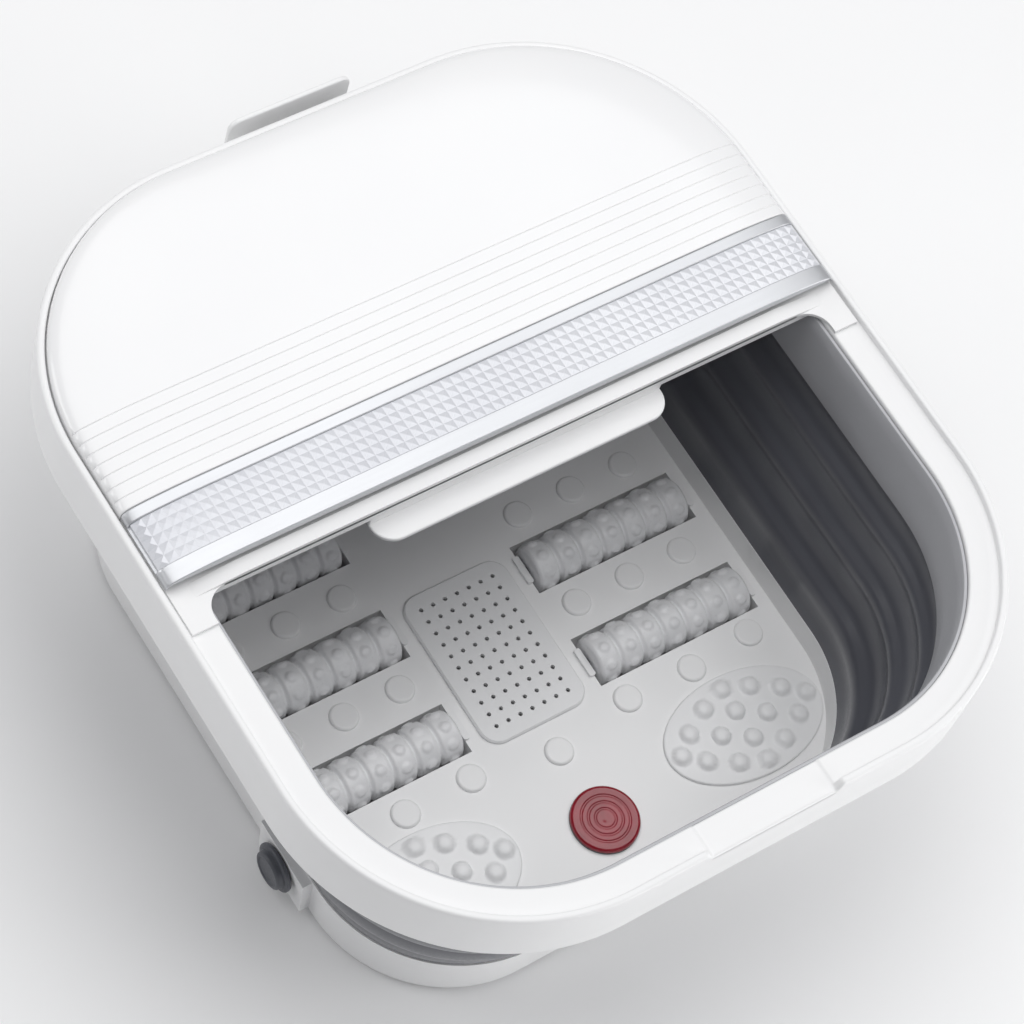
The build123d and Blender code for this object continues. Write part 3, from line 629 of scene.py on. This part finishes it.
def build_gems():
    """Five rows of square pyramids following the crown, over a thin clear body."""
    low, high = reach("gem_strip")
    rows = 5
    pitch = (high.y - low.y) / rows
    half = CROWN_HX - 1.2
    columns = 2 * int(half / pitch)
    step = 2 * half / columns
    relief = 0.65
    sunk = 0.15
    body = 2.9
    points, faces = [], []

    def surface(x, y):
        return RIM_TOP + crown(crown_inset(x, y)) - sunk

    for j in range(rows + 1):
        for i in range(columns + 1):
            x, y = -half + i * step, low.y + j * pitch
            points.append((x, y, surface(x, y) - relief))
    wide = columns + 1
    for j in range(rows):
        for i in range(columns):
            x, y = -half + (i + 0.5) * step, low.y + (j + 0.5) * pitch
            points.append((x, y, surface(x, y)))
            tip = len(points) - 1
            a, b = j * wide + i, j * wide + i + 1
            c, d = b + wide, a + wide
            faces += [(a, b, tip), (b, c, tip), (c, d, tip), (d, a, tip)]
    under = len(points)
    for j in (0, rows):
        for i in range(columns + 1):
            x, y = -half + i * step, low.y + j * pitch
            points.append((x, y, max(RIM_TOP - 0.1, surface(x, y) - body)))
    for i in range(columns):
        faces.append((i, under + i, under + i + 1, i + 1))
        a, b = rows * wide + i, under + wide + i
        faces.append((a, a + 1, b + 1, b))
        faces.append((under + i, b, b + 1, under + i + 1))
    for i in (0, columns):
        run = [j * wide + i for j in range(rows + 1)] + [under + wide + i, under + i]
        faces.append(tuple(run if i == 0 else reversed(run)))
    piece("gem_band", points, faces, GEM, "half_cover", ["gem_strip"], sharp=0)


def build_cover_frame():
    """Front frame of the cover: a plate with two arms, a bar with ramped ends, a beam."""
    low, high = reach("cover_frame")
    arm_inner, arm_corner = 169.0, 12
    plate_low, plate_high = low.z + 4.0, low.z + 5.9
    bar_end, bar_flat = 172, 148
    beam_half, beam_depth = 165.5, 4
    inner_corner = corner(arm_inner - arm_corner, BAR_FRONT - arm_corner, arm_corner, 0)
    outline = [(-high.x, high.y), (-high.x, low.y), (-arm_inner, low.y)]
    outline += [(-x, y) for x, y in inner_corner]
    outline += inner_corner[::-1]
    outline += [(arm_inner, low.y), (high.x, low.y), (high.x, high.y)]
    plate = prism(outline, plate_low, plate_high)
    ramp = [(bar_end, plate_high - 0.4), (bar_end, plate_high), (bar_flat, high.z)]
    bar = prism(ramp + [(-x, z) for x, z in reversed(ramp)], BAR_FRONT, BAR_REAR, "y")
    beam = block(-beam_half, beam_half, BAR_FRONT, BAR_REAR, plate_low - beam_depth, plate_high)
    points, faces = merge(plate, bar, beam)
    obj = piece("cover_front_frame", points, faces, WHITE, "half_cover", ["cover_frame"],
                sharp=30)
    cushion_edges(obj, 0.7)


def build_tongue():
    """Splash lip: a plate with rounded front corners, hung from the frame by a wall."""
    low, high = reach("splash_tongue")
    r = 11.5
    thick = 2.6
    outline = [(-high.x, high.y), (-high.x, low.y + r)]
    outline += corner(-high.x + r, low.y + r, r, 180)
    outline += corner(high.x - r, low.y + r, r, 270)
    outline += [(high.x, high.y)]
    plate = prism(outline, low.z, low.z + thick)
    wall = block(-high.x, high.x, BAR_FRONT + 0.4, high.y, low.z + 0.4, high.z)
    points, faces = merge(plate, wall)
    obj = piece("splash_lip", points, faces, WHITE, "half_cover", ["splash_tongue"],
                sharp=30)
    cushion_edges(obj, 0.8)


def build_carry_lip():
    """Carry lip: an upright plate, a web under it and a flange against the skirt."""
    low, high = reach("carry_lip")
    r = 6.0
    face_bottom = 163.0
    web_low, web_high = 161.5, 164.5
    face_thick, flange_thick = 2.6, 2.58
    face = [(low.x, face_bottom), (high.x, face_bottom)]
    face += corner(high.x - r, high.z - r, r, 0)
    face += corner(low.x + r, high.z - r, r, 90)
    plate = prism(face, high.y - face_thick, high.y, "y")
    web = block(low.x, high.x, low.y, high.y, web_low, web_high)
    back = [(low.x, low.z), (high.x, low.z), (high.x, web_high), (low.x, web_high)]
    flange = prism(back, low.y, low.y + flange_thick, "y")
    points, faces = merge(plate, web, flange)
    obj = piece("carry_lip_shell", points, faces, WHITE, "upper_rim", ["carry_lip"],
                sharp=30)
    cushion_edges(obj, 0.8)


# ---- base fittings -----------------------------------------------------------------------
ROLLER_CREST, ROLLER_BORE = 13.5, 3.2
ROLLER_RINGS, ROLLER_KNOBS = 7, 8
RING_VALLEY, RING_RISE, RING_SHARPNESS = 3.3, 2.2, 2.6
KNOB_R = 2.9
ROLLER_END, ROLLER_CHAMFER = 4.0, (0.5, 3.4)
AROUND_ROLLER, ALONG_RING = 96, 18
HEEL_NUBS = [(-28, -8), (-28, 8), (-14, -16), (-14, 0), (-14, 16), (0, -21), (0, -8),
             (0, 8), (0, 21), (14, -16), (14, 0), (14, 16), (28, -8), (28, 8), (-38, 0),
             (38, 0)]
HEEL_NUB_R = 4.9
HEEL_THICK = 1.6
AROUND_PAD, AROUND_LENS, AROUND_PLUG = 120, 96, 72


def knob_swell(a, x, middle, odd, radius):
    """How far a knob lifts a roller's skin at an angle and an x."""
    step = 2 * math.pi / ROLLER_KNOBS
    turn = step / 2 if odd else 0.0
    off = (a - turn + step / 2) % step - step / 2
    d = math.hypot(x - middle, off * ROLLER_CREST) / KNOB_R
    if d >= 1:
        return 0.0
    return (ROLLER_CREST - radius) * (1 - d ** 4) ** 0.5


def build_roller(side, row):
    node = f"roller_{side}_{row}"
    low, high = reach(node)
    cx, cy, cz = (low + high) / 2
    half = (high.x - low.x) / 2
    pitch = 2 * half / ROLLER_RINGS
    inset, drop = ROLLER_CHAMFER
    # x, radius and number of the ring, which is None at the ends.
    profile = [(-half, ROLLER_BORE, None), (-half, ROLLER_CREST - ROLLER_END, None),
               (-half + inset, ROLLER_CREST - drop, None)]
    for ring in range(ROLLER_RINGS):
        for k in range(ALONG_RING):
            t = (k + 0.5) / ALONG_RING
            wave = min(1.0, RING_SHARPNESS * math.sin(math.pi * t))
            radius = ROLLER_CREST - RING_VALLEY + RING_RISE * wave
            profile.append((-half + pitch * (ring + t), radius, ring))
    profile += [(half - inset, ROLLER_CREST - drop, None),
                (half, ROLLER_CREST - ROLLER_END, None), (half, ROLLER_BORE, None)]
    loops = []
    for x, radius, ring in profile:
        points = []
        for k in range(AROUND_ROLLER):
            a = 2 * math.pi * k / AROUND_ROLLER
            r = radius
            if ring is not None:
                r += knob_swell(a, x, -half + pitch * (ring + 0.5), ring % 2, radius)
            points.append((x + cx, r * math.cos(a) + cy, r * math.sin(a) + cz))
        loops.append(points)
    points, faces = join_loops(loops)
    piece(f"massage_{node}", points, faces, ROLLER, f"{side}_{row}_roller", [node],
          sharp=60)


def build_lens():
    """Red lens with three round grooves and a hollow underside."""
    low, high = reach("infrared_lens")
    cx, cy = (low.x + high.x) / 2, (low.y + high.y) / 2
    r = (high.x - low.x) / 2
    top = high.z
    edge_r = 2.0
    inside, outside = r - 4.7, r - 2.7
    roof = low.z + 4.5
    profile = [(inside, low.z), (outside, low.z), (outside, top - 2.5), (r - 0.4, top - 2.4),
               (r, top - edge_r)]
    profile += [(r - edge_r + edge_r * math.cos(a), top - edge_r + edge_r * math.sin(a))
                for a in (0.4, 0.8, 1.2, 1.5)]
    for edge in (12.5, 9.0, 5.5):
        profile += [(edge + 0.5, top), (edge + 0.15, top - 0.12), (edge - 0.1, top - 0.5),
                    (edge - 0.7, top - 0.5), (edge - 0.95, top - 0.12), (edge - 1.3, top)]
    profile += [(2.6, top - 0.05), (1.5, top - 0.35), (0.0, top - 0.5)]
    under = [(0.0, roof), (inside - 0.5, roof), (inside, roof - 0.5), (inside, low.z)]
    points, faces = spin(profile + under, AROUND_LENS, (cx, cy, 0))
    piece("lens_red", points, faces, RED, "base", ["infrared_lens"], sharp=45)


def build_heel_pad(side):
    """Oval pad with nubs, drawn as rings from its edge to near its middle."""
    node = f"heel_pad_{side}"
    low, high = reach(node)
    cx, cy = (low.x + high.x) / 2, (low.y + high.y) / 2
    rx, ry = (high.x - low.x) / 2, (high.y - low.y) / 2
    rise = high.z - low.z - HEEL_THICK
    edge_drops = {1.0: 0.75, 0.995: 0.3, 0.985: 0.06}
    shares = [1.0, 0.995, 0.985, 0.965] + [0.96 - 0.02 * k for k in range(1, 48)]
    turns = [2 * math.pi * k / AROUND_PAD for k in range(AROUND_PAD)]
    points = [(cx + rx * math.cos(a), cy + ry * math.sin(a), low.z) for a in turns]
    for share in shares:
        level = low.z + HEEL_THICK - edge_drops.get(share, 0.0)
        for a in turns:
            x, y = rx * share * math.cos(a), ry * share * math.sin(a)
            d = min(math.hypot(x - nx, y - ny) for nx, ny in HEEL_NUBS) / HEEL_NUB_R
            lift = rise * (1 - d ** 3) ** 0.6 if d < 1 else 0.0
            points.append((cx + x, cy + y, level + lift))
    faces = []
    for i in range(len(shares)):
        a, b = i * AROUND_PAD, (i + 1) * AROUND_PAD
        for k in range(AROUND_PAD):
            n = (k + 1) % AROUND_PAD
            faces.append((a + k, a + n, b + n, b + k))
    last = len(shares) * AROUND_PAD
    faces.append(tuple(reversed(range(AROUND_PAD))))
    faces.append(tuple(last + k for k in range(AROUND_PAD)))
    piece(f"heel_insert_{side}", points, faces, PAD, "base", [node], sharp=60)


def build_plug():
    """Drain plug: a stem in the wall, a flange against the boss and a round head."""
    low, high = reach("drain_plug")
    y, z = (low.y + high.y) / 2, (low.z + high.z) / 2
    stem_end, face = -high.x, -low.x
    stem = 6.8
    flange = (high.y - low.y) / 2
    cap = 10.0
    front = face - 3.4
    seat = front - 2.6
    profile = [(0.0, stem_end), (stem - 0.8, stem_end), (stem, stem_end + 0.8), (stem, seat)]
    profile += [(flange - 0.8, seat), (flange - 0.2, seat + 0.25), (flange, seat + 0.8),
                (flange, front - 0.8), (flange - 0.3, front - 0.3),
                (flange - 0.9, front - 0.05)]
    profile += [(cap + 0.8, front), (cap + 0.2, front + 0.2), (cap, front + 0.7),
                (cap, face - 1.4), (cap - 0.35, face - 0.5), (cap - 1.2, face),
                (cap - 1.9, face), (cap - 2.3, face - 0.2), (cap - 2.6, face - 0.55),
                (cap - 3.4, face - 0.6), (0.0, face - 0.5)]
    points, faces = spin(profile, AROUND_PLUG, (0, y, z), sideways=True)
    piece("plug_cap", points, faces, SLATE, "plug", ["drain_plug"], sharp=40)


build_rim()
build_collar()
build_fold_wall()
build_cover_dome()
build_band_tray()
build_gems()
build_cover_frame()
build_tongue()
build_carry_lip()
for roller_row in ("rear", "mid", "front"):
    for roller_side in ("left", "right"):
        build_roller(roller_side, roller_row)
build_lens()
build_heel_pad("left")
build_heel_pad("right")
build_plug()

# ---- stage, light and camera ----------------------------------------------------------------
FLOOR_SIZE = 14
# Name, place, point it looks at, side and watts.
LIGHTS = [
    ("overhead", (0.35, 0.25, 2.3), (0.1, 0.05, 0.1), 3.0, 52),
    ("left_rear", (-1.3, 1.1, 0.75), (-0.1, 0.1, 0.1), 0.8, 6),
    ("front_right", (1.5, -1.25, 0.75), (0.1, 0, 0.1), 1.0, 9),
    ("front_low", (0.15, -0.95, 0.14), (0.02, -0.2, 0.14), 0.35, 1.7),
]
# The camera fitted to the outline of the rim in the photograph.
AZIMUTH = math.radians(51.416)
ELEVATION = math.radians(58.376)
ROLL = math.radians(-21.729)
DISTANCE = 1.6404
FOCAL_LENGTH, SENSOR_WIDTH = 127.2, 36.0
SHIFT_X, SHIFT_Y = -0.01664, -0.05958
CLIP_END = 50


def build_stage():
    bpy.ops.mesh.primitive_plane_add(size=FLOOR_SIZE)
    ground = bpy.context.object
    ground.name = "studio_floor"
    floor_look = moulded("floor_pale", rgb(0.92, 0.92, 0.92), rgb(0.94, 0.94, 0.94),
                         (0.6, 0.7), cloud=2.0, bump=0)
    ground.data.materials.append(floor_look)
    world = bpy.data.worlds.new("studio")
    bpy.context.scene.world = world
    world.use_nodes = True
    sky = world.node_tree.nodes["Background"]
    sky.inputs["Color"].default_value = rgb(0.95, 0.96, 1.0)
    sky.inputs["Strength"].default_value = 0.24


def panel_light(name, at, aim, size, power):
    data = bpy.data.lights.new(name, "AREA")
    data.shape = "SQUARE"
    data.size = size
    data.energy = power
    obj = bpy.data.objects.new(name, data)
    obj.location = at
    obj.rotation_euler = (Vector(aim) - Vector(at)).to_track_quat("-Z", "Y").to_euler()
    bpy.context.collection.objects.link(obj)


def build_camera():
    aim = Vector(pt(0, 0, RIM_TOP))
    away = Vector((-math.sin(AZIMUTH) * math.cos(ELEVATION),
                   -math.cos(AZIMUTH) * math.cos(ELEVATION),
                   math.sin(ELEVATION)))
    level = (-away).cross(Vector((0, 0, 1))).normalized()
    upward = level.cross(-away).normalized()
    right = level * math.cos(ROLL) - upward * math.sin(ROLL)
    up = level * math.sin(ROLL) + upward * math.cos(ROLL)
    turn = Matrix((right, up, away)).transposed().to_4x4()
    camera = bpy.data.objects.new("camera", bpy.data.cameras.new("camera"))
    camera.matrix_world = Matrix.Translation(aim + away * DISTANCE) @ turn
    camera.data.lens = FOCAL_LENGTH
    camera.data.sensor_width = SENSOR_WIDTH
    camera.data.shift_x = SHIFT_X
    camera.data.shift_y = SHIFT_Y
    camera.data.clip_end = CLIP_END
    bpy.context.collection.objects.link(camera)
    bpy.context.scene.camera = camera


build_stage()
for light in LIGHTS:
    panel_light(*light)
build_camera()
bpy.context.scene.view_settings.view_transform = "Standard"
